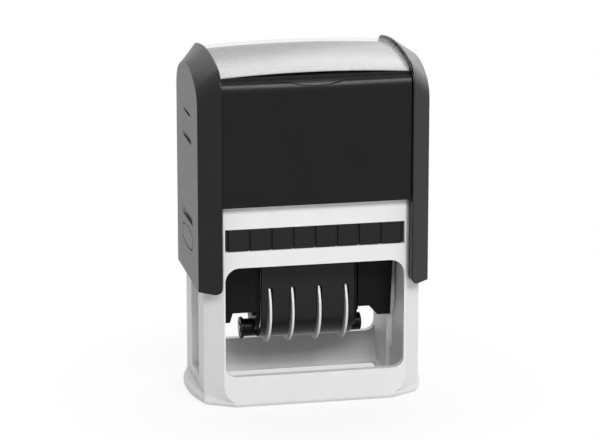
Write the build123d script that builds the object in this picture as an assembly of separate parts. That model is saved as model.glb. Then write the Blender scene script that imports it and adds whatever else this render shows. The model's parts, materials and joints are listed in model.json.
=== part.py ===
from build123d import *
import math
import os

# Self-inking date stamp in millimetres. X is the width, -Y the front and +Z up. The origin lies on the
# table under the middle of the foot. Everything is drawn at rest, with the cap up and the die face up.

# Die and stroke
IMPRINT_W = 56.0
IMPRINT_D = 33.0
TRAVEL = 30.0
FACE_REACH = 13.0  # turning axis to printing face
PAD_GAP = 2.0  # face to ink pad at rest, so that the turning corners pass below the pad
AXLE_Z = FACE_REACH + TRAVEL
FACE_Z = AXLE_Z + FACE_REACH
PAD_Z = FACE_Z + PAD_GAP

# Clearances
RUN_GAP = 0.08  # radial, turning fits
SLIDE_GAP = 0.3  # sliding faces
LOOSE_GAP = 0.4  # turning parts beside fixed walls
TOUCH_GAP = 0.05  # seated faces

# Base: heights
LIP_H = 2.7
LIP_EDGE = 0.6  # lip's height at the opening, where its slope ends
SILL_Z = 11.0
RAIL_H = 5.5
SLOT_H = 7.6
DECK_T = 2.7
RIM_H = 6.0
PAD_INSET = 4.3  # pad face above the floor of the cartridge slot
SLOT_LOW = PAD_Z - PAD_INSET
SLOT_HIGH = SLOT_LOW + SLOT_H
WINDOW_HIGH = SLOT_LOW - RAIL_H
DECK_Z = SLOT_HIGH + DECK_T
BASE_TOP = DECK_Z + RIM_H

# Pivot pins and lock buttons
PIN_R = 1.6
PIN_EDGE = 1.2  # cheek left below the pin's bore
PIN_SEAT = 3.4  # length held in the carriage
GUIDE_HALF = 7.0  # outer guide channel of the base
BUTTON_HALF = 9.25
BUTTON_END = 2.2
BUTTON_MID = 3.4
BUTTON_SPACE = 2.0  # pin bearing to the button's flange
BUTTON_T = 1.1
BUTTON_TRAVEL = 1.0
BUTTON_FLANGE_T = 1.0
BUTTON_SIDE_GAP = 0.8  # flange to the sides of the guide
BUTTON_FLANGE_UP = 4.7
BUTTON_GAP = 0.25
BUTTON_FLANGE_HALF = GUIDE_HALF - BUTTON_SIDE_GAP
BEARING_UP = PIN_R + 2 * PIN_EDGE  # top of the pin's bearing above the turning axis
BUTTON_UP = BEARING_UP + BUTTON_SPACE + BUTTON_FLANGE_UP

# Base: plan
SIDE_WALL = 5.4
CAM_T = 1.2  # cam land, proud of the side wall
FRONT_WALL = 2.35
LIP_W = 2.7
LIP_SIDE = 1.1
LIP_CUT = 0.6  # corner cut of the opening
END_CLEAR = 1.7  # die end to the cam land
CAVITY_X = IMPRINT_W / 2 + END_CLEAR  # face of the cam lands
WALL_X = CAVITY_X + CAM_T
BASE_X = WALL_X + SIDE_WALL
SWING_CLEAR = 3.8  # die edge to the inner front wall
CAVITY_Y = IMPRINT_D / 2 + SWING_CLEAR
BASE_Y = CAVITY_Y + FRONT_WALL
BASE_BEVEL = 5.8
FOOT_SWEEP_R = 6.5  # curve by which the bevel spreads along the front, towards the table
FOOT_SWEEP_TOP = 8.0
FOOT_SWEEP_STEPS = 6
FOOT_ROUND = 2.0
FOOT_EDGE = 0.35  # foot's corners outside the bevel above them
CAVITY_CUTS = (4.0, 0.6)  # corner cuts of the cavity, at the lip and at the sill
WINDOW_EDGE = 0.5  # front wall left beside the bevel
WINDOW_X = BASE_X - BASE_BEVEL - WINDOW_EDGE
WINDOW_TOP_R = 4.8
WINDOW_LOW_R = 3.5
FLANGE_OUT = 3.5
FLANGE_H = 3.6
FLANGE_ROUND = 1.2
GUIDE_DEEP = BUTTON_FLANGE_T + BUTTON_TRAVEL + BUTTON_GAP - SLIDE_GAP + TOUCH_GAP
GUIDE_LOW = 7.0
CORE_WALL = 1.7  # wall left round the hollows in the side walls
CORE_EDGE = 1.35  # hollow's end inside the start of the bevel
CAM_EDGE_Y = 1.8
CAM_RAMP_LOW = 17.0
CAM_RAMP_HIGH = 29.0
CAM_RAMP_Y = 4.5

# Cap
CHEEK_T = 1.9
PANEL_SHELL = 1.75
PANEL_T = 1.2
CHEEK_PROUD = 0.9
HEADROOM = 16.8  # pressed base to the crown of the cap
PANEL_LIFT = 8.0
PANEL_DROP = 6.8  # crown to panel top
BEVEL_W = 6.6
BEVEL_H = 4.5
CHEEK_BEVEL_Y = 6.4
RIDGE_FLAT = 0.4
CHEEK_CORNER = 2.8
CROWN_DROP = 3.6
CREASE_DROP = 6.8
ARCH_R = 8.0
CREASE_R = 8.0
TOP_RECESS = 2.2
TOP_R = 5.5
CEILING_T = 8.0
CEILING_DROP = 6.0
CEILING_R = 5.0
PANEL_SIDE_GAP = 0.2
NOTCH_HALF = 9.0
NOTCH_DEEP = 1.3
DENT_DEEP = 0.8
DENTS = ((18.0, 2.6, 19.8), (44.6, 1.6, 16.6), (53.2, 1.0, 12.8))  # above the axis, height, length
CHEEK_LOW = AXLE_Z - PIN_R - PIN_EDGE
PANEL_LOW = SLOT_HIGH + PANEL_LIFT
CAP_TOP = BASE_TOP + TRAVEL + HEADROOM
PANEL_HIGH = CAP_TOP - PANEL_DROP
CAP_X = BASE_X + SLIDE_GAP + CHEEK_T
RIDGE_X = CAP_X - BEVEL_W
INNER_X = RIDGE_X - RIDGE_FLAT
SHELL_Y = BASE_Y + SLIDE_GAP + PANEL_SHELL
PANEL_Y = SHELL_Y + PANEL_T
RIDGE_Y = PANEL_Y + CHEEK_PROUD
CREASE_Y = RIDGE_Y - CHEEK_BEVEL_Y
CROWN_Z = CAP_TOP - TOP_RECESS  # top of the deck between the cheeks

# Index window and card
CARD_T = 0.3
WINDOW_T = 1.1
WINDOW_GAP = 0.3
COVER_IN = 2.6  # front edge behind the shell's face
STEP_DROP = 4.15  # crown to the ledge in front of the cover
COVER_CROWN = 1.1  # rise of the cover's middle above its ends
COVER_HALF = SHELL_Y - COVER_IN

# Return spring
WIRE = 1.3
SPRING_R = 7.4  # to the middle of the wire
SPRING_TURNS = 6.5
SPIGOT_H = 4.5
SPRING_SEAT_T = 2.6  # seat below the cap's ceiling

# Carriage
DIE_T = 2.0
RUBBER_T = 2.0
RELIEF = 0.8
BAR_HALF = 18.6
BAR_ROWS = (0.35, 0.7)  # bars between the date opening and the border
DECK_THICK = 2.5
DECK_IN = 2.5  # deck edge inside the die's edge
WING_Y = 9.5
WING_T = 1.6
WING_RISE = 14.1  # turning axis to the wing's lower edge
WING_FOOT = 3.2
WING_TAPER = 0.9
RIGHT_FOOT = (5.3, 2.9)  # widths of the foot and of the slope beside it
LEFT_FOOT = (3.2, 0.9)
END_BLOCK_LOW = 4.0

# Date unit
WHEEL_DROP = 14.0  # wheel axle below the turning axis
WHEEL_PROUD = 1.8  # wheel rim outside the cover
DISC_T = 0.7
WHEEL_NOTCHES = 72
NOTCH_R = 0.12
AXLE_R = 1.5
DRUM_R = 5.8
DRUM_GAP = 0.15
BAND_T = 0.9
TYPE_H = 0.9
TYPE_COUNT = 12
TYPE_LONG = 3.6
BAND_ROOM = 1.85  # date bands to the cover
COVER_T = 1.4
COVER_SLOT = 1.9
COVER_SLOT_UP = 7.6
SIDE_T = 1.5
SIDE_R = 8.8
BOSS_DROP = 8.0  # boss below the wheel axle
BOSS_R = 3.0
RIGHT_BOSS_OUT = 2.8
LEFT_BOSS_OUT = 4.0
RIM_R = 3.7  # rim at the end of the left boss
RIM_T = 1.0
TAIL_PIN_R = 1.7
TAIL_PIN_OUT = 0.3
LUG_OUT = 1.0
LUG_H = 2.2
LUG_W = 3.0
CLIP_R = 2.6
CLIP_T = 0.6
AXLE_OUT = 1.2
ANVIL_HALF = 2.4
ANVIL_R = 1.2
ANVIL_H = 9.0
DATE_OPEN = 4.7
DAY_TENS_DRUM = 3.4
DAY_UNITS_DRUM = 3.2
MONTH_DRUM = 8.1
YEAR_DRUM = 8.1
DRUM_SPACE = 0.3
END_SPACE = 2.45  # spacer sleeves at the ends of the axle
BAND_EDGE = 0.2
WHEEL_NAMES = ("day_tens", "day_units", "month", "year")
WHEEL_Z = AXLE_Z - WHEEL_DROP
COVER_R = DRUM_R + DRUM_GAP + BAND_T + TYPE_H + BAND_ROOM + COVER_T
WHEEL_R = COVER_R + WHEEL_PROUD
DRUM_LENGTHS = (DAY_TENS_DRUM, DAY_UNITS_DRUM, MONTH_DRUM, YEAR_DRUM)
WHEEL_COUNT = len(DRUM_LENGTHS)
DRUMS_LONG = sum(DRUM_LENGTHS) + WHEEL_COUNT * DISC_T + (WHEEL_COUNT - 1) * DRUM_SPACE
COVER_X = DRUMS_LONG / 2 + END_SPACE
SIDE_X = COVER_X + SIDE_T
DIE_LOW = FACE_Z - RUBBER_T - DIE_T
DECK_LOW = DIE_LOW - DECK_THICK
ANVIL_Z = FACE_Z - BAND_T - TYPE_H

# Ink cartridge
TRAY_GAP = 0.3
TRAY_BACK = 0.45  # grip face behind the base's front
TRAY_RAIL = 1.2
TRAY_END = 3.6
TRAY_TOP_T = 1.1
REAR_LIFT = 0.5  # rear edge above the die face
GRIP_COUNT = 8
GRIP_GROOVE = 0.8
GRIP_DEEP = 0.8
GRIP_STEP = 0.9
TRAY_X = WINDOW_X - TRAY_GAP
TRAY_Y = BASE_Y - TRAY_BACK


def block(x0, x1, y0, y1, z0, z1):
    """A box between two corners."""
    middle = Pos((x0 + x1) / 2, (y0 + y1) / 2, (z0 + z1) / 2)
    return middle * Box(x1 - x0, y1 - y0, z1 - z0)


def centred(x, y, z0, z1):
    """A box of half sizes x and y about the vertical axis."""
    return block(-x, x, -y, y, z0, z1)


def rod(radius, x0, x1, y, z):
    """A cylinder along X."""
    return Pos((x0 + x1) / 2, y, z) * Rot(0, 90, 0) * Cylinder(radius, x1 - x0)


def right_and_left(shape):
    """The shape with its mirror image across the middle plane."""
    return shape + mirror(shape, about=Plane.YZ)


def front_and_rear(shape):
    """The shape with its mirror image from front to rear."""
    return shape + mirror(shape, about=Plane.XZ)


def octagon(half_x, half_y, cut_x, cut_y=None):
    """Plan of a rectangle with its four corners cut, at 45 degrees where no second cut is given."""
    cut_y = cut_x if cut_y is None else cut_y
    corners = []
    for sx, sy in ((1, -1), (1, 1), (-1, 1), (-1, -1)):
        pair = [(sx * (half_x - cut_x), sy * half_y), (sx * half_x, sy * (half_y - cut_y))]
        corners += pair if sx * sy < 0 else pair[::-1]
    return make_face(Polyline(*corners, close=True))


def arch(half, top, drop, corner, low, grow=0.0):
    """Side view of an arched cap, half wide each way, grown outwards evenly."""
    radius = (half**2 + drop**2) / (2 * drop)
    centre = top - radius
    wide, radius = half + grow, radius + grow
    end = centre + math.sqrt(radius**2 - wide**2)
    legs = Polyline((-wide, end), (-wide, low), (wide, low), (wide, end))
    crown = ThreePointArc((wide, end), (0, centre + radius), (-wide, end))
    face = make_face(legs.edges() + crown.edges())
    return fillet(face.vertices().group_by(Axis.Y)[-1], corner + grow)


def side_extrude(face, x0, x1):
    """Extrudes a side view from x0 to x1."""
    return extrude(Plane.YZ.offset(x0) * face, x1 - x0)


def front_extrude(face, y0, y1):
    """Extrudes a front view, drawn in X and Z, from y0 back to y1."""
    return extrude(Plane.XZ.offset(-y1) * face, y1 - y0)


# Base


def foot_cut(z):
    """Width of the corner bevel along the front at a height in the foot."""
    return BASE_BEVEL + FOOT_SWEEP_R - math.sqrt(FOOT_SWEEP_R**2 - (FOOT_SWEEP_TOP - z) ** 2)


def foot_plate():
    """Lowest part of the foot: flat front and rear, cut corners, and bowed sides that form flanges."""
    end_x = BASE_X - foot_cut(FOOT_ROUND) + FOOT_EDGE
    end_y = BASE_Y - BASE_BEVEL + FOOT_EDGE
    outline = [Line((-end_x, side * BASE_Y), (end_x, side * BASE_Y)) for side in (-1, 1)]
    for side in (-1, 1):
        bow = (side * (BASE_X + FLANGE_OUT), 0)
        outline.append(ThreePointArc((side * BASE_X, -end_y), bow, (side * BASE_X, end_y)))
        outline += [Line((side * BASE_X, end * end_y), (side * end_x, end * BASE_Y)) for end in (-1, 1)]
    plan = make_face([edge for line in outline for edge in line.edges()])
    plate = extrude(plan, FLANGE_H)
    rims = plate.edges().group_by(Axis.Z)[-1].filter_by(GeomType.CIRCLE)
    plate = fillet(rims, FLANGE_ROUND)
    return fillet(plate.edges().group_by(Axis.Z)[0], FOOT_ROUND)


def foot_and_walls():
    """Outer form of the base: rounded foot and bevelled walls."""
    rise = (FOOT_SWEEP_TOP - FOOT_ROUND) / FOOT_SWEEP_STEPS
    heights = [FOOT_ROUND + step * rise for step in range(FOOT_SWEEP_STEPS + 1)]
    plans = [Pos(0, 0, z) * octagon(BASE_X, BASE_Y, foot_cut(z), BASE_BEVEL) for z in heights]
    foot = loft(plans, ruled=True)
    wall_plan = Pos(0, 0, FOOT_SWEEP_TOP) * octagon(BASE_X, BASE_Y, BASE_BEVEL)
    walls = extrude(wall_plan, BASE_TOP - FOOT_SWEEP_TOP)
    return foot + walls + foot_plate()


def window_opening():
    """Front and rear window cut, with rounded corners."""
    height = WINDOW_HIGH - SILL_Z
    face = Pos(0, SILL_Z + height / 2) * Rectangle(2 * WINDOW_X, height)
    low = face.vertices().group_by(Axis.Y)[0]
    face = fillet(low, WINDOW_LOW_R)
    corners = face.vertices().group_by(Axis.Y)[-1]
    face = fillet(corners, WINDOW_TOP_R)
    return front_and_rear(front_extrude(face, -BASE_Y - FRONT_WALL, -CAVITY_Y))


def cam_land():
    """Raised land on a side wall, whose front edge guides the carriage over."""
    outline = Polyline(
        (CAM_EDGE_Y, LIP_EDGE),
        (CAM_EDGE_Y, CAM_RAMP_LOW),
        (-CAM_RAMP_Y, CAM_RAMP_HIGH),
        (-CAM_RAMP_Y, WINDOW_HIGH),
        (CAVITY_Y, WINDOW_HIGH),
        (CAVITY_Y, LIP_EDGE),
        close=True,
    )
    return side_extrude(make_face(outline), CAVITY_X, WALL_X)


def base_frame():
    outer = foot_and_walls()
    mouth = octagon(CAVITY_X - LIP_SIDE, CAVITY_Y - LIP_W, LIP_CUT)
    corners = [octagon(WALL_X, CAVITY_Y, cut) for cut in CAVITY_CUTS]
    body = outer - extrude(mouth, LIP_EDGE)
    body -= loft([Pos(0, 0, LIP_EDGE) * mouth, Pos(0, 0, LIP_H) * corners[0]], ruled=True)
    body -= loft([Pos(0, 0, LIP_H) * corners[0], Pos(0, 0, SILL_Z) * corners[1]], ruled=True)
    body -= centred(WALL_X, CAVITY_Y, SILL_Z, SLOT_LOW)
    body -= centred(WINDOW_X, 2 * BASE_Y, SLOT_LOW, SLOT_HIGH)
    body -= centred(CAVITY_X, CAVITY_Y, DECK_Z, BASE_TOP + DECK_T)
    body -= window_opening()
    body += right_and_left(cam_land() & outer)
    guide = block(BASE_X - GUIDE_DEEP, BASE_X, -GUIDE_HALF, GUIDE_HALF, GUIDE_LOW, BASE_TOP)
    body -= right_and_left(guide)
    near, far = WALL_X + CORE_WALL, BASE_X - CORE_WALL
    core_end = BASE_Y - BASE_BEVEL - CORE_EDGE
    core = block(near, far, GUIDE_HALF + CORE_WALL, core_end, SILL_Z, BASE_TOP)
    body -= front_and_rear(right_and_left(core))
    half = PIN_R + SLIDE_GAP / 2
    slot = block(CAVITY_X - CAM_T, BASE_X, -half, half, FACE_REACH, AXLE_Z)
    ends = [rod(half, CAVITY_X - CAM_T, BASE_X, 0, z) for z in (FACE_REACH, AXLE_Z)]
    body -= right_and_left(slot + ends)
    spigot = SPRING_R - WIRE
    body += Pos(0, 0, DECK_Z + SPIGOT_H / 2) * Cylinder(spigot, SPIGOT_H)
    return body


# Cap


def cheek():
    """Right cheek: arched, bevelled all round its outer face, with its inner lower corner rounded."""
    ridge = arch(RIDGE_Y, CAP_TOP, CROWN_DROP, ARCH_R, CHEEK_LOW)
    crease = arch(CREASE_Y, CAP_TOP - BEVEL_H, CREASE_DROP, CREASE_R, CHEEK_LOW)
    flat = side_extrude(ridge, INNER_X, RIDGE_X)
    outer = [Plane.YZ.offset(RIDGE_X) * ridge, Plane.YZ.offset(CAP_X) * crease]
    body = flat + loft(outer, ruled=True)
    middle = Pos((INNER_X + CAP_X) / 2, (CHEEK_LOW + CAP_TOP) / 2)
    front = middle * Rectangle(BEVEL_W + RIDGE_FLAT, CAP_TOP - CHEEK_LOW)
    corner = front.vertices().group_by(Axis.Y)[0].sort_by(Axis.X)[0]
    front = fillet(corner, CHEEK_CORNER)
    return body & front_extrude(front, -RIDGE_Y, RIDGE_Y)


def button_face(grow=0.0):
    """Barrel outline of a lock button, in Y and Z about its centre."""
    half, end, mid = BUTTON_HALF + grow, BUTTON_END + grow, BUTTON_MID + grow
    upper = ThreePointArc((-half, end), (0, mid), (half, end))
    lower = ThreePointArc((half, -end), (0, -mid), (-half, -end))
    sides = [Line((half, end), (half, -end)), Line((-half, -end), (-half, end))]
    edges = upper.edges() + lower.edges() + sides[0].edges() + sides[1].edges()
    return Pos(0, AXLE_Z + BUTTON_UP) * make_face(edges)


def cheek_cuts():
    """Dents, button hole and pin bore of the right cheek."""
    cuts = side_extrude(button_face(BUTTON_GAP), BASE_X, CAP_X + BUTTON_T)
    for up, height, length in DENTS:
        radius = ((length / 2) ** 2 + DENT_DEEP**2) / (2 * DENT_DEEP)
        place = Pos(CAP_X - DENT_DEEP + radius, 0, AXLE_Z + up)
        cuts += place * Cylinder(radius, height)
    return cuts


def pin_bearing():
    """Rib inside the right cheek that runs in the base's guide and holds a pivot pin."""
    low = BASE_X - GUIDE_DEEP + SLIDE_GAP
    half = GUIDE_HALF - SLIDE_GAP
    return block(low, CAP_X - CHEEK_T / 2, -half, half, CHEEK_LOW, AXLE_Z + BEARING_UP)


def cap_shell():
    middle = arch(SHELL_Y, CROWN_Z, CROWN_DROP, TOP_R, PANEL_LOW)
    body = side_extrude(middle, -INNER_X - RIDGE_FLAT, INNER_X + RIDGE_FLAT)
    body += right_and_left(cheek())
    hollow = arch(BASE_Y + SLIDE_GAP, CAP_TOP - CEILING_T, CEILING_DROP, CEILING_R, CHEEK_LOW - CHEEK_T)
    room = octagon(BASE_X + SLIDE_GAP, BASE_Y + SLIDE_GAP, BASE_BEVEL)
    room = extrude(Pos(0, 0, CHEEK_LOW - CHEEK_T) * room, CAP_TOP - CHEEK_LOW)
    body -= side_extrude(hollow, -BASE_X - SLIDE_GAP, BASE_X + SLIDE_GAP) & room
    seat_z = CAP_TOP - CEILING_T - SPRING_SEAT_T
    seat = Pos(0, 0, seat_z + SPRING_SEAT_T) * Cylinder(SPRING_R + 2 * WIRE, 2 * SPRING_SEAT_T)
    spigot = Pos(0, 0, seat_z - SPIGOT_H / 2) * Cylinder(SPRING_R - WIRE, SPIGOT_H)
    body += seat + spigot
    step = block(-INNER_X, INNER_X, -SHELL_Y, -COVER_HALF, CROWN_Z - STEP_DROP, CAP_TOP)
    body -= step + mirror(step, about=Plane.XZ)
    body += right_and_left(pin_bearing())
    bore = rod(PIN_R + RUN_GAP, BASE_X - GUIDE_DEEP, CAP_X - PIN_EDGE, 0, AXLE_Z)
    return body - right_and_left(cheek_cuts() + bore)


def panel():
    """Front panel: a plate that follows the shell round its upper edge, with a thumbnail notch."""
    shape = (SHELL_Y, CROWN_Z, CROWN_DROP, TOP_R)
    low = PANEL_LOW - PANEL_T
    half = INNER_X - PANEL_SIDE_GAP
    skin = side_extrude(arch(*shape, low, PANEL_T), -half, half)
    skin -= side_extrude(arch(*shape, low - PANEL_T), -half, half)
    plate = skin & block(-half, half, -PANEL_Y, 0, PANEL_LOW, PANEL_HIGH)
    radius = (NOTCH_HALF**2 + NOTCH_DEEP**2) / (2 * NOTCH_DEEP)
    centre = Pos(0, -PANEL_Y, PANEL_HIGH - NOTCH_DEEP + radius)
    return plate - centre * Rot(90, 0, 0) * Cylinder(radius, 4 * TOP_R)


def top_layer(low, high):
    """A sheet over the arched top, at two heights above the deck at its ends, and crowned between them."""
    shape = (SHELL_Y, CROWN_Z, CROWN_DROP, TOP_R)
    half = INNER_X - WINDOW_GAP
    side = arch(*shape, PANEL_HIGH - TOP_R, high) - arch(*shape, PANEL_HIGH - 2 * TOP_R, low)
    radius = (half**2 + COVER_CROWN**2) / (2 * COVER_CROWN)
    axle = Axis((0, 0, CROWN_Z - radius), (0, 1, 0))
    turn = math.degrees(math.asin(INNER_X / radius))
    sheet = Pos(0, 0, COVER_CROWN) * revolve((Plane.YZ * side).rotate(axle, -turn), axle, 2 * turn)
    return sheet & centred(half, COVER_HALF, PANEL_HIGH - TOP_R, CAP_TOP + TOP_RECESS)


def lock_button():
    """Right lock button: outer barrel face and the inner flange that keeps it in the cheek."""
    flange_x = BASE_X + SLIDE_GAP - BUTTON_GAP - BUTTON_FLANGE_T
    face = side_extrude(button_face(), CAP_X - BUTTON_T, CAP_X)
    stem = side_extrude(button_face(), flange_x, CAP_X)
    stem &= centred(CAP_X, BUTTON_FLANGE_HALF, CHEEK_LOW, CAP_TOP)
    middle = AXLE_Z + BUTTON_UP
    flange = block(
        flange_x,
        flange_x + BUTTON_FLANGE_T,
        -BUTTON_FLANGE_HALF,
        BUTTON_FLANGE_HALF,
        middle - BUTTON_FLANGE_UP,
        middle + BUTTON_FLANGE_UP,
    )
    return face + stem + flange


def return_spring():
    low = DECK_Z + WIRE / 2
    high = CAP_TOP - CEILING_T - SPRING_SEAT_T - WIRE / 2
    pitch = (high - low) / SPRING_TURNS
    path = Pos(0, 0, low) * Helix(pitch, high - low, SPRING_R)
    print("spring turn gap", round(pitch - WIRE, 2))
    section = Plane(path @ 0, z_dir=path % 0) * Circle(WIRE / 2)
    return sweep(section, path=path)


# Carriage


def wing_face(foot, slope):
    """Front view of the right wing, which narrows downwards and has a foot at its outer end."""
    inner, outer = SIDE_X + TOUCH_GAP, CAVITY_X - LOOSE_GAP
    low = AXLE_Z - WING_RISE
    foot_x = outer - foot
    return make_face(
        Polyline(
            (inner, DECK_LOW),
            (inner, low),
            (foot_x - slope, low),
            (foot_x, low - WING_FOOT),
            (outer - WING_TAPER, low - WING_FOOT),
            (outer, DECK_LOW),
            close=True,
        )
    )


def wing(foot, slope):
    """Right wing, hollow but for its end block, with the pivot pin's bore and room for the axle's clip."""
    solid = front_extrude(wing_face(foot, slope), -WING_Y, WING_Y)
    inner = WING_Y - WING_T
    outer = CAVITY_X - LOOSE_GAP
    hollow = block(SIDE_X + SIDE_T, CAVITY_X, -inner, inner, 0, DECK_LOW)
    held = block(outer - PIN_SEAT, outer, -WING_Y, WING_Y, AXLE_Z - END_BLOCK_LOW, DECK_LOW)
    shape = (solid - hollow) + (solid & held)
    shape -= rod(PIN_R, outer - PIN_SEAT, CAVITY_X, 0, AXLE_Z)
    clip_room = CLIP_R + SLIDE_GAP
    return shape - block(SIDE_X, SIDE_X + SIDE_T, -clip_room, clip_room, 0, WHEEL_Z + clip_room)


def carriage_frame():
    deck = centred(IMPRINT_W / 2, IMPRINT_D / 2 - DECK_IN, DECK_LOW, DIE_LOW)
    deck -= centred(SIDE_X + TOUCH_GAP, COVER_R + TOUCH_GAP, DECK_LOW, DIE_LOW)
    return deck + wing(*RIGHT_FOOT) + mirror(wing(*LEFT_FOOT), about=Plane.YZ)


def pivot_pin():
    outer = CAVITY_X - LOOSE_GAP
    return rod(PIN_R, outer - PIN_SEAT, CAP_X - PIN_EDGE - SLIDE_GAP, 0, AXLE_Z)


def die_plate():
    plate = centred(IMPRINT_W / 2, IMPRINT_D / 2, DIE_LOW, DIE_LOW + DIE_T)
    return plate - centred(COVER_X, DATE_OPEN, DIE_LOW, DIE_LOW + DIE_T)


def text_rubber():
    """Printing sheet: a raised border and plain raised bars above and below the date opening."""
    low, sheet_top = FACE_Z - RUBBER_T, FACE_Z - RELIEF
    sheet = centred(IMPRINT_W / 2, IMPRINT_D / 2, low, sheet_top)
    border = centred(IMPRINT_W / 2 - RELIEF, IMPRINT_D / 2 - RELIEF, sheet_top, FACE_Z)
    border -= centred(IMPRINT_W / 2 - 2 * RELIEF, IMPRINT_D / 2 - 2 * RELIEF, sheet_top, FACE_Z)
    sheet += border
    room = IMPRINT_D / 2 - 2 * RELIEF - DATE_OPEN
    for row in BAR_ROWS:
        middle = DATE_OPEN + row * room
        bar = block(-BAR_HALF, BAR_HALF, middle - RELIEF, middle + RELIEF, sheet_top, FACE_Z)
        sheet += front_and_rear(bar)
    return sheet - centred(COVER_X, DATE_OPEN, low, FACE_Z)


# Date unit


def dater_cover():
    """Half-round cover with a slot for each thumb wheel."""
    rounds = []
    for radius in (COVER_R, COVER_R - COVER_T):
        tall = Pos(0, (WHEEL_Z + DECK_LOW) / 2) * Rectangle(2 * radius, DECK_LOW - WHEEL_Z)
        rounds.append(tall + Pos(0, WHEEL_Z) * Circle(radius))
    shell = side_extrude(rounds[0] - rounds[1], -COVER_X, COVER_X)
    top = WHEEL_Z + COVER_SLOT_UP
    for x, _ in wheel_places():
        half = COVER_SLOT / 2
        shell -= block(x - half, x + half, -WHEEL_R, WHEEL_R, WHEEL_Z - WHEEL_R, top)
        shell -= Pos(x, 0, top) * Rot(90, 0, 0) * Cylinder(half, 2 * WHEEL_R)
    return shell


def wheel_places():
    """Disc middle and drum ends of each wheel, from left to right. The first disc is left of its drum."""
    places = []
    x = END_SPACE - COVER_X
    for count, length in enumerate(DRUM_LENGTHS):
        if count == 0:
            places.append((x + DISC_T / 2, (x + DISC_T, x + DISC_T + length)))
        else:
            places.append((x + length + DISC_T / 2, (x, x + length)))
        x += DISC_T + length + DRUM_SPACE
    return places


def thumb_wheel(x, span):
    """Notched disc with the drum that drives its band."""
    face = Circle(WHEEL_R) - PolarLocations(WHEEL_R, WHEEL_NOTCHES) * Circle(NOTCH_R)
    disc = side_extrude(Pos(0, WHEEL_Z) * face, x - DISC_T / 2, x + DISC_T / 2)
    wheel = disc + rod(DRUM_R, span[0], span[1], 0, WHEEL_Z)
    return wheel - rod(AXLE_R + RUN_GAP, -COVER_X, COVER_X, 0, WHEEL_Z)


def band_outline():
    """Inner outline of a date band: round the drum and over the anvil."""
    nose = ANVIL_HALF - ANVIL_R
    rings = Pos(0, WHEEL_Z) * Circle(DRUM_R + DRUM_GAP)
    rings += [Pos(side * nose, ANVIL_Z - ANVIL_R) * Circle(ANVIL_R) for side in (-1, 1)]
    return make_hull(rings.edges())


def date_band(span):
    """Closed rubber band with raised type blocks at an even pitch."""
    low, high = span[0] + BAND_EDGE, span[1] - BAND_EDGE
    inner = band_outline()
    outer = offset(inner, BAND_T)
    band = side_extrude(outer - inner, low, high)
    loop = outer.faces()[0].outer_wire()
    start = loop.param_at_point(Vector(0, ANVIL_Z + BAND_T, 0))
    height = TYPE_H + BAND_T / 3
    for count in range(TYPE_COUNT):
        at = (start + count / TYPE_COUNT) % 1.0
        place, along = loop @ at, loop % at
        turn = math.degrees(math.atan2(along.Y, along.X))
        face = Pos(place.X, place.Y) * Rot(0, 0, turn) * Rectangle(TYPE_LONG, 2 * height)
        block_shape = side_extrude(face, low + BAND_EDGE, high - BAND_EDGE)
        limit = side_extrude(offset(inner, BAND_T + TYPE_H) - offset(inner, BAND_T / 2), low, high)
        band += block_shape & limit
    return band


def band_anvil():
    face = Pos(0, ANVIL_Z - ANVIL_H / 2) * Rectangle(2 * ANVIL_HALF, ANVIL_H)
    face = fillet(face.vertices().group_by(Axis.Y)[-1], ANVIL_R)
    return side_extrude(face, -COVER_X, COVER_X)


def dater_side(boss_out):
    """Right end plate of the date unit, with its tail boss and the lugs that clip it to the carriage."""
    round_end = Pos(0, WHEEL_Z) * Circle(SIDE_R)
    tall = Pos(0, (WHEEL_Z + DECK_LOW) / 2) * Rectangle(2 * SIDE_R, DECK_LOW - WHEEL_Z)
    boss_z = WHEEL_Z - BOSS_DROP
    low_end = Pos(0, boss_z) * Circle(BOSS_R)
    plate = side_extrude(round_end + tall + low_end, COVER_X, SIDE_X)
    boss = rod(BOSS_R, SIDE_X, SIDE_X + boss_out, 0, boss_z)
    lug_top = AXLE_Z - WING_RISE - TOUCH_GAP
    lug_y = CLIP_R + SLIDE_GAP
    lug = block(SIDE_X, SIDE_X + LUG_OUT, lug_y, lug_y + LUG_W, lug_top - LUG_H, lug_top)
    side = plate + boss + front_and_rear(lug)
    side -= rod(TAIL_PIN_R, SIDE_X, SIDE_X + boss_out, 0, boss_z)
    return side - rod(AXLE_R, COVER_X, SIDE_X, 0, WHEEL_Z)


def left_dater_side():
    """Left end plate, whose longer boss ends in a rim."""
    end = SIDE_X + LEFT_BOSS_OUT
    boss_z = WHEEL_Z - BOSS_DROP
    rim = rod(RIM_R, end - RIM_T, end, 0, boss_z) - rod(TAIL_PIN_R, end - RIM_T, end, 0, boss_z)
    return mirror(dater_side(LEFT_BOSS_OUT) + rim, about=Plane.YZ)


def tail_pins():
    pins = []
    for boss_out in (RIGHT_BOSS_OUT, LEFT_BOSS_OUT):
        pins.append(rod(TAIL_PIN_R, SIDE_X, SIDE_X + boss_out + TAIL_PIN_OUT, 0, WHEEL_Z - BOSS_DROP))
    return pins[0] + mirror(pins[1], about=Plane.YZ)


def wheel_axle():
    return rod(AXLE_R, -SIDE_X - AXLE_OUT, SIDE_X + AXLE_OUT, 0, WHEEL_Z)


def axle_clips():
    clip = rod(CLIP_R, SIDE_X, SIDE_X + CLIP_T, 0, WHEEL_Z)
    clip -= rod(AXLE_R, SIDE_X, SIDE_X + CLIP_T, 0, WHEEL_Z)
    return right_and_left(clip)


def axle_spacers():
    sleeves = []
    for side in (-1, 1):
        near, far = side * (COVER_X - END_SPACE + TOUCH_GAP), side * COVER_X
        low, high = min(near, far), max(near, far)
        sleeve = rod(CLIP_R, low, high, 0, WHEEL_Z)
        sleeves.append(sleeve - rod(AXLE_R, low, high, 0, WHEEL_Z))
    return sleeves[0] + sleeves[1]


# Ink cartridge


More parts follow.
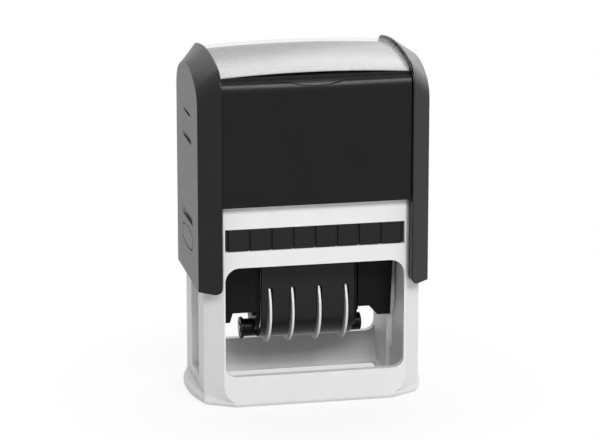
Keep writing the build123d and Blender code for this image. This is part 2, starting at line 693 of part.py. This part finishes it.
def cartridge_tray():
    """Tray that holds the pad face down, with eight grip lands on its front."""
    low = SLOT_LOW + TOUCH_GAP
    high = SLOT_HIGH - TRAY_GAP
    tray = centred(TRAY_X, TRAY_Y, low, high)
    room_x, room_y = TRAY_X - TRAY_RAIL, TRAY_Y - TRAY_END
    tray -= centred(room_x, room_y, low, high - TRAY_TOP_T)
    tray -= block(-room_x, room_x, 0, TRAY_Y, low, FACE_Z + REAR_LIFT)
    grip = TRAY_X - GRIP_STEP
    step = block(grip, TRAY_X, -TRAY_Y, GRIP_STEP - TRAY_Y, low, high)
    tray -= right_and_left(step)
    pitch = (2 * grip + GRIP_GROOVE) / GRIP_COUNT
    for count in range(1, GRIP_COUNT):
        x = count * pitch - grip - GRIP_GROOVE
        tray -= block(x, x + GRIP_GROOVE, -TRAY_Y, GRIP_DEEP - TRAY_Y, low, high)
    return tray


def ink_pad():
    room_x, room_y = TRAY_X - TRAY_RAIL - TOUCH_GAP, TRAY_Y - TRAY_END - TOUCH_GAP
    return centred(room_x, room_y, PAD_Z, SLOT_HIGH - TRAY_GAP - TRAY_TOP_T)


def nodes():
    """Every piece by name."""
    front_panel = panel()
    pieces = {
        "base_frame": base_frame(),
        "return_spring": return_spring(),
        "cap_shell": cap_shell(),
        "front_panel": front_panel,
        "rear_panel": mirror(front_panel, about=Plane.XZ),
        "index_card": top_layer(TOUCH_GAP, CARD_T),
        "index_window": top_layer(CARD_T + TOUCH_GAP, CARD_T + TOUCH_GAP + WINDOW_T),
        "lock_button_right": lock_button(),
        "lock_button_left": mirror(lock_button(), about=Plane.YZ),
        "carriage_frame": carriage_frame(),
        "pivot_pin_right": pivot_pin(),
        "pivot_pin_left": mirror(pivot_pin(), about=Plane.YZ),
        "die_plate": die_plate(),
        "text_rubber": text_rubber(),
        "dater_cover": dater_cover(),
        "dater_side_right": dater_side(RIGHT_BOSS_OUT),
        "dater_side_left": left_dater_side(),
        "tail_pins": tail_pins(),
        "wheel_axle": wheel_axle(),
        "axle_clips": axle_clips(),
        "axle_spacers": axle_spacers(),
        "band_anvil": band_anvil(),
        "cartridge_tray": cartridge_tray(),
        "ink_pad": ink_pad(),
    }
    for name, (x, span) in zip(WHEEL_NAMES, wheel_places()):
        pieces[name + "_wheel"] = thumb_wheel(x, span)
        pieces[name + "_band"] = date_band(span)
    return pieces


os.makedirs("parts", exist_ok=True)
for name, piece in nodes().items():
    export_step(piece, f"parts/{name}.step")
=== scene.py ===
import json
import math

import bmesh
import bpy
from mathutils import Matrix, Vector


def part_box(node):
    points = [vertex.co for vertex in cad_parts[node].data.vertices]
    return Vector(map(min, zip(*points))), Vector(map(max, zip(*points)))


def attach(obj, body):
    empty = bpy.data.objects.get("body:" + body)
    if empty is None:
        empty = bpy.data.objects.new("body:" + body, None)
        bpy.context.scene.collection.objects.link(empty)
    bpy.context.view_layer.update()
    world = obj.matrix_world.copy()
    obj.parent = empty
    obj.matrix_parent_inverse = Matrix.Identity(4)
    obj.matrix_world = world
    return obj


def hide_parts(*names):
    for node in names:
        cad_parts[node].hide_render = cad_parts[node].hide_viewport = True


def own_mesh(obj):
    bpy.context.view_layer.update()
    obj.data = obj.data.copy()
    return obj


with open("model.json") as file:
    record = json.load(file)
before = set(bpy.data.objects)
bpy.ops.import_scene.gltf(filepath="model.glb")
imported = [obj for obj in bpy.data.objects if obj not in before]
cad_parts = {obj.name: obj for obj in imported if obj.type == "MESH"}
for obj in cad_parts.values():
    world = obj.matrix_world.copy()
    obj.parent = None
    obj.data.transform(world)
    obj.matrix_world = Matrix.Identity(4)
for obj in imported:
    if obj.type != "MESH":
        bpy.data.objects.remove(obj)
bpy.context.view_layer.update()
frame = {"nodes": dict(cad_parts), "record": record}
nodes = frame["nodes"]
record = frame["record"]
node_slot = {row["node"]: row["material_slot"] for row in record["subparts"]}
node_body = {node: body for body, members in record["behaviour"]["bodies"].items() for node in members}

# Lengths in metres
MM = 0.001
WELD = 0.002 * MM
FLAT = math.radians(0.4)  # triangles this close to level belong to one face
CREASE = math.radians(24)  # sharper edges are rounded
SMOOTH = math.radians(38)  # gentler edges are shaded smooth

# View of the photograph
CAMERA_TURN = math.radians(11.548)
CAMERA_RISE = math.radians(15.049)
CAMERA_DISTANCE = 1.046727
CAMERA_TARGET = Vector((-0.508, 0, 57.253)) * MM
CAMERA_LENS = 188.19
CAMERA_SENSOR = 36
CAMERA_NEAR = 0.05
CAMERA_FAR = 20

# Floor
FLOOR_REACH = 4
FLOOR_DROP = 0.05 * MM  # floor below the foot
FLOOR_GLOW = (0.85, 1.0)  # share of the floor's own white that the eye sees, near the stamp and away from it
FLOOR_POOL = (0.045, 0.09)  # where that share starts to grow and where it is whole
FOOT_OPENING = (28.6 * MM, 17.6 * MM)  # half its width and depth
FLOOR_PAPER_AND_PAINTED_SHADE = (0.25, 0.86)  # how pale the floor is inside the foot's opening, darker there as painted shade, and outside it
OPENING_GLOW_WITH_PAINTED_SHADE = (0.78, 1)  # share of the white that is left inside it, lower there as painted shade, and outside it

# Light
WORLD_LIGHT = 0.24
LAMP_AIM = Vector((0, 0, 60)) * MM
LAMPS = {  # place, width, height and power
    "front_key": ((0.12, -1.04, 0.79), 0.7, 0.35, 12.2),
    "rear_box": ((0, 0.62, 0.85), 1.4, 0.75, 5.2),
    "rear_fill": ((0.8, 0.9, 0.5), 1.3, 0.9, 4.2),
}

# Return spring
SPRING_RADIUS = 7.4 * MM
SPRING_WIRE = 0.65 * MM
SPRING_WIRE_SIDES = 14
SPRING_TURNS = 6.5
SPRING_STEPS_PER_TURN = 40

# Ink pad
PAD_CUTS = 28
PAD_EDGE = 0.2  # outer share of the pad that is drawn in
PAD_DRAW = 0.55 * MM
PAD_RIPPLE = 0.06 * MM
PAD_WAVES = (900, 700)  # radians per metre along its width and depth

# Edge rounds of the mouldings in millimetres, the most that each edge gets
EDGE_ROUNDS = {
    "base_frame": 0.3,
    "cap_shell": 0.22,
    "front_panel": 0.45,
    "rear_panel": 0.45,
    "index_window": 0.3,
    "lock_button_left": 0.2,
    "lock_button_right": 0.2,
    "cartridge_tray": 0.16,
    "carriage_frame": 0.2,
    "die_plate": 0.15,
    "text_rubber": 0.12,
    "dater_cover": 0.15,
    "dater_side_left": 0.2,
    "dater_side_right": 0.2,
    "day_tens_wheel": 0.05,
    "day_units_wheel": 0.05,
    "month_wheel": 0.05,
    "year_wheel": 0.05,
}
FREE_ROUNDS = ("dater_side_left", "dater_side_right")  # pieces whose rounds all have room
ROUND_STEPS = 2

# Moulded plastics
TONE_GRAIN = 90  # slow changes of tone, per metre
GLOSS_GRAIN = 700
WAVE_GRAIN = 140
WAVE_DEPTH = 0.004 * MM
PLASTICS = {  # dark and light tone, roughness, grains per metre, their depth and the specular level
    "pale_plastic": ((0.73, 0.73, 0.735), (0.76, 0.76, 0.765), (0.36, 0.44), 4200, 0.002 * MM, 0.3),
    "black_plastic": ((0.0075, 0.0075, 0.0078), (0.009, 0.009, 0.0093), (0.3, 0.36), 4200, 0.0005 * MM, 0.22),
    "smooth_black": ((0.0045, 0.0045, 0.0047), (0.0055, 0.0055, 0.0057), (0.28, 0.32), 3600, 0.0003 * MM, 0.18),
    # painted shade: a darker, less reflective copy of black_plastic for the recessed carriage and dater sides
    "painted_shade_black": ((0.004, 0.004, 0.0042), (0.0055, 0.0055, 0.0057), (0.3, 0.36), 4200, 0.0005 * MM, 0.1),
    "grey_plastic": ((0.009, 0.009, 0.0093), (0.011, 0.011, 0.0113), (0.3, 0.36), 4200, 0.0005 * MM, 0.22),
    "off_white": ((0.74, 0.74, 0.73), (0.78, 0.78, 0.77), (0.3, 0.36), 4200, 0.0005 * MM, 0.4),
}

# Nodes whose finish differs from others in their slot
OWN_FINISHES = {
    # the carriage and dater sides take the painted shade black
    "carriage_frame": "painted_shade_black",
    "dater_side_left": "painted_shade_black",
    "dater_side_right": "painted_shade_black",
    # painted shade: the tail pins take a darkened copy of the bright steel
    "tail_pins": "painted_shade_steel",
}


# Finishes


class Finish:
    """A material under construction: its nodes, its shader and the object's own coordinates."""

    def __init__(self, name):
        self.material = bpy.data.materials.new(name)
        self.material.use_nodes = True
        self.tree = self.material.node_tree
        self.shader = self.tree.nodes["Principled BSDF"]
        self.coords = self.node("ShaderNodeTexCoord").outputs["Object"]

    def node(self, kind, **settings):
        made = self.tree.nodes.new(kind)
        for key, value in settings.items():
            setattr(made, key, value)
        return made

    def link(self, start, end):
        self.tree.links.new(start, end)

    def set(self, **values):
        for key, value in values.items():
            self.shader.inputs[key.replace("_", " ")].default_value = value

    def noise(self, scale, detail=2.0, stretch=None):
        """A noise pattern of so many grains per metre, drawn out along an axis where stretch says so."""
        place = self.coords
        if stretch:
            mapping = self.node("ShaderNodeMapping")
            mapping.inputs["Scale"].default_value = stretch
            self.link(place, mapping.inputs["Vector"])
            place = mapping.outputs["Vector"]
        noise = self.node("ShaderNodeTexNoise")
        noise.inputs["Scale"].default_value = scale
        noise.inputs["Detail"].default_value = detail
        self.link(place, noise.inputs["Vector"])
        return noise.outputs["Fac"]

    def spread(self, value, low, high, start=0.3, end=0.7):
        """Maps a pattern's range from start to end to the range from low to high."""
        mapped = self.node("ShaderNodeMapRange")
        mapped.inputs["From Min"].default_value = start
        mapped.inputs["From Max"].default_value = end
        mapped.inputs["To Min"].default_value = low
        mapped.inputs["To Max"].default_value = high
        self.link(value, mapped.inputs["Value"])
        return mapped.outputs["Result"]

    def product(self, first, second):
        """Two values multiplied."""
        times = self.node("ShaderNodeMath", operation="MULTIPLY")
        self.link(first, times.inputs[0])
        self.link(second, times.inputs[1])
        return times.outputs["Value"]

    def tint(self, value, dark, light):
        """Colours a pattern from dark to light."""
        mix = self.node("ShaderNodeMix", data_type="RGBA")
        mix.inputs["A"].default_value = (*dark, 1)
        mix.inputs["B"].default_value = (*light, 1)
        self.link(self.spread(value, 0, 1), mix.inputs["Factor"])
        self.link(mix.outputs["Result"], self.shader.inputs["Base Color"])

    def rough(self, value, low, high):
        self.link(self.spread(value, low, high), self.shader.inputs["Roughness"])

    def bump(self, value, depth, below=None):
        """Raises the surface by depth metres where the pattern is high, over an earlier bump."""
        bump = self.node("ShaderNodeBump")
        bump.inputs["Distance"].default_value = depth
        bump.inputs["Strength"].default_value = 1
        self.link(value, bump.inputs["Height"])
        if below:
            self.link(below, bump.inputs["Normal"])
        self.link(bump.outputs["Normal"], self.shader.inputs["Normal"])
        return bump.outputs["Normal"]


def moulded_plastic(name, dark, light, rough, grain, depth, specular):
    """Spark-grained moulded plastic with slow changes of tone and fine changes of gloss."""
    finish = Finish(name)
    finish.set(Specular_IOR_Level=specular)
    finish.tint(finish.noise(TONE_GRAIN, detail=3), dark, light)
    finish.rough(finish.noise(GLOSS_GRAIN, detail=3), *rough)
    eroded = finish.bump(finish.noise(grain), depth)
    finish.bump(finish.noise(WAVE_GRAIN), WAVE_DEPTH, below=eroded)
    return finish.material


def silver_card():
    """Metallised card with a fine laid grain."""
    finish = Finish("silver_card")
    finish.set(Metallic=0.9, Specular_Tint=(0.5, 0.5, 0.5, 1))
    finish.tint(finish.noise(500, detail=3, stretch=(1, 12, 1)), (0.46, 0.46, 0.46), (0.5, 0.5, 0.5))
    finish.rough(finish.noise(900, stretch=(1, 12, 1)), 0.26, 0.32)
    finish.bump(finish.noise(2500, stretch=(1, 10, 1)), 0.004 * MM)
    return finish.material


def clear_plastic():
    """Polished clear cover with the faint waves and hairlines of a moulded sheet."""
    finish = Finish("clear_plastic")
    finish.set(Alpha=0.18, Specular_IOR_Level=0.4)
    finish.tint(finish.noise(60), (0.6, 0.61, 0.62), (0.65, 0.66, 0.67))
    finish.rough(finish.noise(300, stretch=(1, 8, 1)), 0.22, 0.3)
    finish.bump(finish.noise(70, detail=1), 0.01 * MM)
    return finish.material


def drawn_steel(name, dark, light):
    """Drawn steel with lines round its axis."""
    finish = Finish(name)
    finish.set(Metallic=1.0)
    finish.tint(finish.noise(1200, stretch=(8, 1, 1)), dark, light)
    finish.rough(finish.noise(2600, stretch=(8, 1, 1)), 0.2, 0.34)
    finish.bump(finish.noise(5000, stretch=(8, 1, 1)), 0.003 * MM)
    return finish.material


def soft_rubber(name, dark, light):
    """Matt rubber with a slightly dusty, pitted skin."""
    finish = Finish(name)
    finish.set(Specular_IOR_Level=0.3)
    finish.tint(finish.noise(400, detail=4), dark, light)
    finish.rough(finish.noise(900, detail=3), 0.62, 0.8)
    finish.bump(finish.noise(4000, detail=3), 0.012 * MM)
    return finish.material


def inked_felt():
    """Felt soaked with ink: short matted fibres, with wetter patches."""
    finish = Finish("inked_felt")
    finish.set(Sheen_Weight=0.3, Sheen_Roughness=0.5, Specular_IOR_Level=0.35)
    finish.tint(finish.noise(220, detail=4), (0.012, 0.012, 0.03), (0.05, 0.05, 0.1))
    finish.rough(finish.noise(160, detail=3), 0.45, 0.85)
    matted = finish.bump(finish.noise(1500, detail=5, stretch=(1, 3, 1)), 0.12 * MM)
    finish.bump(finish.noise(1500, detail=5, stretch=(3, 1, 1)), 0.1 * MM, below=matted)
    return finish.material


finishes = {name: moulded_plastic(name, *values) for name, values in PLASTICS.items()}
finishes.update(
    {
        "silver_card": silver_card(),
        "clear_plastic": clear_plastic(),
        "steel": drawn_steel("bright_steel", (0.55, 0.55, 0.56), (0.7, 0.7, 0.71)),
        # painted shade: a darker copy of the bright steel, for the tail pins in the shaded bosses
        "painted_shade_steel": drawn_steel("painted_shade_steel", (0.12, 0.12, 0.12), (0.17, 0.17, 0.17)),
        "band_rubber": soft_rubber("band_rubber", (0.016, 0.016, 0.018), (0.03, 0.03, 0.032)),
        "die_rubber": soft_rubber("die_rubber", (0.13, 0.03, 0.024), (0.18, 0.045, 0.035)),
        "felt": inked_felt(),
    }
)


def finish_of(node):
    """A node's own finish, or else that of its slot."""
    return finishes[OWN_FINISHES.get(node, node_slot[node])]


# Pieces


def settle(form, name, node):
    """Makes a finished form a piece that stands for a node and moves with its body."""
    mesh = bpy.data.meshes.new(name)
    form.to_mesh(mesh)
    form.free()
    mesh.shade_smooth()
    mesh.set_sharp_from_angle(angle=SMOOTH)
    mesh.materials.append(finish_of(node))
    piece = bpy.data.objects.new(name, mesh)
    bpy.context.scene.collection.objects.link(piece)
    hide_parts(node)
    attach(piece, node_body[node])
    return piece


def rounded_moulding(node, round_mm):
    """A node's own form with its sharp edges rounded, as they leave the mould."""
    form = bmesh.new()
    form.from_mesh(nodes[node].data)
    bmesh.ops.remove_doubles(form, verts=form.verts, dist=WELD)
    bmesh.ops.dissolve_limit(form, angle_limit=FLAT, verts=form.verts, edges=form.edges)
    sharp = [e for e in form.edges if e.is_manifold and e.calc_face_angle() > CREASE]
    bmesh.ops.bevel(
        form,
        geom=sharp,
        offset=round_mm * MM,
        offset_type="OFFSET",
        affect="EDGES",
        segments=ROUND_STEPS,
        profile=0.5,
        material=-1,
        clamp_overlap=node not in FREE_ROUNDS,
    )
    piece = settle(form, node + "_moulding", node)
    even = piece.modifiers.new("even_faces", "WEIGHTED_NORMAL")
    even.keep_sharp = True


def coil_spring():
    """Return spring, wound from one wire section, which shortens as the cap goes down."""
    low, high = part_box("return_spring")
    start, end = low.z + SPRING_WIRE, high.z - SPRING_WIRE
    steps = round(SPRING_TURNS * SPRING_STEPS_PER_TURN)
    form = bmesh.new()
    place = Matrix.Translation((SPRING_RADIUS, 0, start)) @ Matrix.Rotation(math.pi / 2, 4, "X")
    ring = bmesh.ops.create_circle(
        form, cap_ends=False, segments=SPRING_WIRE_SIDES, radius=SPRING_WIRE, matrix=place
    )["verts"]
    wire_ends = list({e for v in ring for e in v.link_edges})
    wound = bmesh.ops.spin(
        form,
        geom=wire_ends + ring,
        cent=(0, 0, 0),
        axis=(0, 0, 1),
        dvec=(0, 0, (end - start) / steps),
        angle=SPRING_TURNS * 2 * math.pi,
        steps=steps,
    )["geom_last"]
    last = [g for g in wound if isinstance(g, bmesh.types.BMEdge)]
    bmesh.ops.contextual_create(form, geom=wire_ends)
    bmesh.ops.contextual_create(form, geom=last)
    bmesh.ops.recalc_face_normals(form, faces=form.faces)
    spring = settle(form, "coil_spring", "return_spring")
    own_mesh(spring)


def felt_pad():
    """Ink pad: a felt block whose lower face is crowned and whose edges are drawn in."""
    low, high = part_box("ink_pad")
    middle = (low + high) / 2
    form = bmesh.new()
    bmesh.ops.create_cube(form, size=1)
    bmesh.ops.scale(form, vec=high - low, verts=form.verts)
    bmesh.ops.translate(form, vec=middle, verts=form.verts)
    level_edges = [e for e in form.edges if abs(e.verts[0].co.z - e.verts[1].co.z) < WELD]
    bmesh.ops.subdivide_edges(form, edges=level_edges, cuts=PAD_CUTS, use_grid_fill=True)
    for vert in form.verts:
        if vert.co.z > middle.z:
            continue
        across = max(abs(vert.co.x) / high.x, abs(vert.co.y) / high.y)
        drawn = max(0.0, across - (1 - PAD_EDGE)) / PAD_EDGE
        wave = math.sin(vert.co.x * PAD_WAVES[0]) * math.sin(vert.co.y * PAD_WAVES[1])
        vert.co.z += PAD_DRAW * drawn**2 + PAD_RIPPLE * (1 + wave)
    bmesh.ops.recalc_face_normals(form, faces=form.faces)
    pad = settle(form, "felt_pad", "ink_pad")


for node_name, edge_round in EDGE_ROUNDS.items():
    rounded_moulding(node_name, edge_round)
coil_spring()
felt_pad()
for node_name, cad_object in nodes.items():
    cad_object.data.materials.clear()
    cad_object.data.materials.append(finish_of(node_name))


# Studio


def seen_by_the_eye(tree):
    """1 for rays that show a background: straight to the camera, mirrored or through clear plastic."""
    path = tree.nodes.new("ShaderNodeLightPath")
    total = path.outputs["Is Camera Ray"]
    for name in ("Is Glossy Ray", "Is Transmission Ray"):
        larger = tree.nodes.new("ShaderNodeMath")
        larger.operation = "MAXIMUM"
        tree.links.new(total, larger.inputs[0])
        tree.links.new(path.outputs[name], larger.inputs[1])
        total = larger.outputs["Value"]
    return total


def outside_painted_shade(finish):
    """0 on the floor inside the foot's opening, where shade is painted, and 1 outside it."""
    part = finish.node("ShaderNodeSeparateXYZ")
    finish.link(finish.coords, part.inputs["Vector"])
    either = finish.node("ShaderNodeMath", operation="MAXIMUM")
    for socket, axis, half in zip(either.inputs, "XY", FOOT_OPENING):
        off = finish.node("ShaderNodeMath", operation="ABSOLUTE")
        finish.link(part.outputs[axis], off.inputs[0])
        past = finish.node("ShaderNodeMath", operation="GREATER_THAN")
        past.inputs[1].default_value = half
        finish.link(off.outputs["Value"], past.inputs[0])
        finish.link(past.outputs["Value"], socket)
    return either.outputs["Value"]


def floor_paper_with_painted_shade():
    """Pale paper that the eye sees as white, with painted shade inside the foot's opening, where the paper is
    darker and less of its white is seen.
    """
    finish = Finish("floor_paper_with_painted_shade")
    tree = finish.tree
    tree.nodes.remove(finish.shader)
    beyond = outside_painted_shade(finish)
    paper = finish.node("ShaderNodeBsdfDiffuse")
    # painted shade: the paper is darker inside the foot's opening
    finish.link(finish.spread(beyond, *FLOOR_PAPER_AND_PAINTED_SHADE, 0, 1), paper.inputs["Color"])
    away = finish.node("ShaderNodeVectorMath", operation="LENGTH")
    finish.link(finish.coords, away.inputs[0])
    pool = finish.spread(away.outputs["Value"], *FLOOR_GLOW, *FLOOR_POOL)
    share = finish.product(pool, seen_by_the_eye(tree))
    # painted shade: less of the white is seen inside the foot's opening
    share = finish.product(share, finish.spread(beyond, *OPENING_GLOW_WITH_PAINTED_SHADE, 0, 1))
    glow = finish.node("ShaderNodeEmission")
    mix = finish.node("ShaderNodeMixShader")
    finish.link(share, mix.inputs["Fac"])
    finish.link(paper.outputs["BSDF"], mix.inputs[1])
    finish.link(glow.outputs["Emission"], mix.inputs[2])
    finish.link(mix.outputs["Shader"], tree.nodes["Material Output"].inputs["Surface"])
    return finish.material


def studio_floor():
    """Floor that reads as white paper and keeps the stamp's shadow, with painted shade inside the foot's
    opening.
    """
    form = bmesh.new()
    bmesh.ops.create_grid(form, x_segments=1, y_segments=1, size=FLOOR_REACH)
    bmesh.ops.translate(form, vec=(0, 0, -FLOOR_DROP), verts=form.verts)
    mesh = bpy.data.meshes.new("floor")
    form.to_mesh(mesh)
    form.free()
    mesh.materials.append(floor_paper_with_painted_shade())
    floor = bpy.data.objects.new("floor", mesh)
    bpy.context.scene.collection.objects.link(floor)


def studio_world():
    """White surroundings to the eye, and an even soft light on the stamp."""
    world = bpy.data.worlds.new("studio")
    bpy.context.scene.world = world
    world.use_nodes = True
    tree = world.node_tree
    light = tree.nodes["Background"]
    light.inputs["Color"].default_value = (1, 1, 1, 1)
    strength = tree.nodes.new("ShaderNodeMapRange")
    strength.inputs["To Min"].default_value = WORLD_LIGHT
    strength.inputs["To Max"].default_value = 1
    tree.links.new(seen_by_the_eye(tree), strength.inputs["Value"])
    tree.links.new(strength.outputs["Result"], light.inputs["Strength"])


def softbox(name, place, width, height, power):
    """A rectangular soft light that faces the middle of the stamp."""
    lamp = bpy.data.lights.new(name, "AREA")
    lamp.shape = "RECTANGLE"
    lamp.size = width
    lamp.size_y = height
    lamp.energy = power
    holder = bpy.data.objects.new(name, lamp)
    holder.location = place
    holder.rotation_euler = (LAMP_AIM - Vector(place)).to_track_quat("-Z", "Y").to_euler()
    bpy.context.scene.collection.objects.link(holder)


def photo_camera():
    """Camera at the photograph's place."""
    camera = bpy.data.cameras.new("photo_camera")
    camera.lens = CAMERA_LENS
    camera.sensor_fit = "HORIZONTAL"
    camera.sensor_width = CAMERA_SENSOR
    camera.clip_start = CAMERA_NEAR
    camera.clip_end = CAMERA_FAR
    holder = bpy.data.objects.new("photo_camera", camera)
    level = math.cos(CAMERA_RISE)
    back = Vector((-math.sin(CAMERA_TURN) * level, -math.cos(CAMERA_TURN) * level, math.sin(CAMERA_RISE)))
    holder.location = CAMERA_TARGET + back * CAMERA_DISTANCE
    holder.rotation_euler = (-back).to_track_quat("-Z", "Y").to_euler()
    bpy.context.scene.collection.objects.link(holder)
    bpy.context.scene.camera = holder


studio_floor()
studio_world()
for lamp_name, lamp_values in LAMPS.items():
    softbox(lamp_name, *lamp_values)
photo_camera()
bpy.context.scene.view_settings.view_transform = "Standard"
